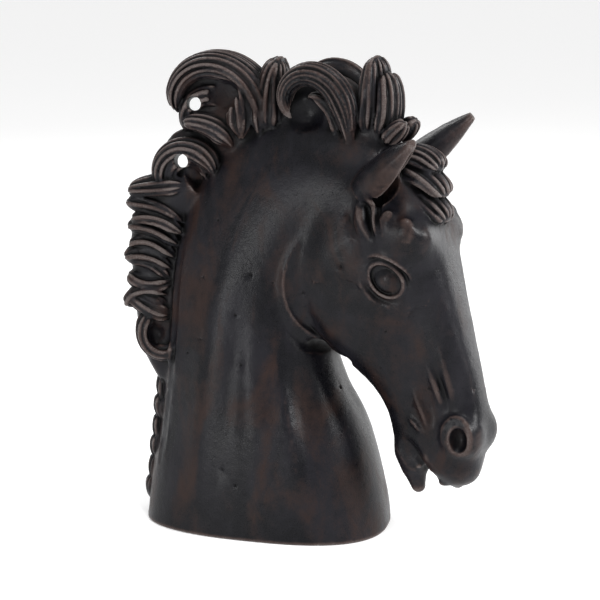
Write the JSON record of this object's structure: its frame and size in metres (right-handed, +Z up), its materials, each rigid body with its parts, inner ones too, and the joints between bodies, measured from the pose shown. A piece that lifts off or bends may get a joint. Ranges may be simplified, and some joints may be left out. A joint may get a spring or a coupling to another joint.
{
  "type": "horse head bust sculpture",
  "caption": "Horse's head and neck with a wild curling mane, cast in one dark piece, standing on the flat foot of its own neck.",
  "frame": {"origin": "on the flat underside, on the neck's middle plane and about the middle of the foot", "axes": "+Z up, +X the way the neck faces, +Y to the horse's left; the head is turned to the horse's right"},
  "size_m": [0.2882, 0.1408, 0.359],
  "materials": {
    "patinated_casting": "near-black satin casting, wiped back to a warm brown on the ridges"
  },
  "bodies": {
    "root": {"horse_head": "patinated_casting"}
  },
  "joints": []
}
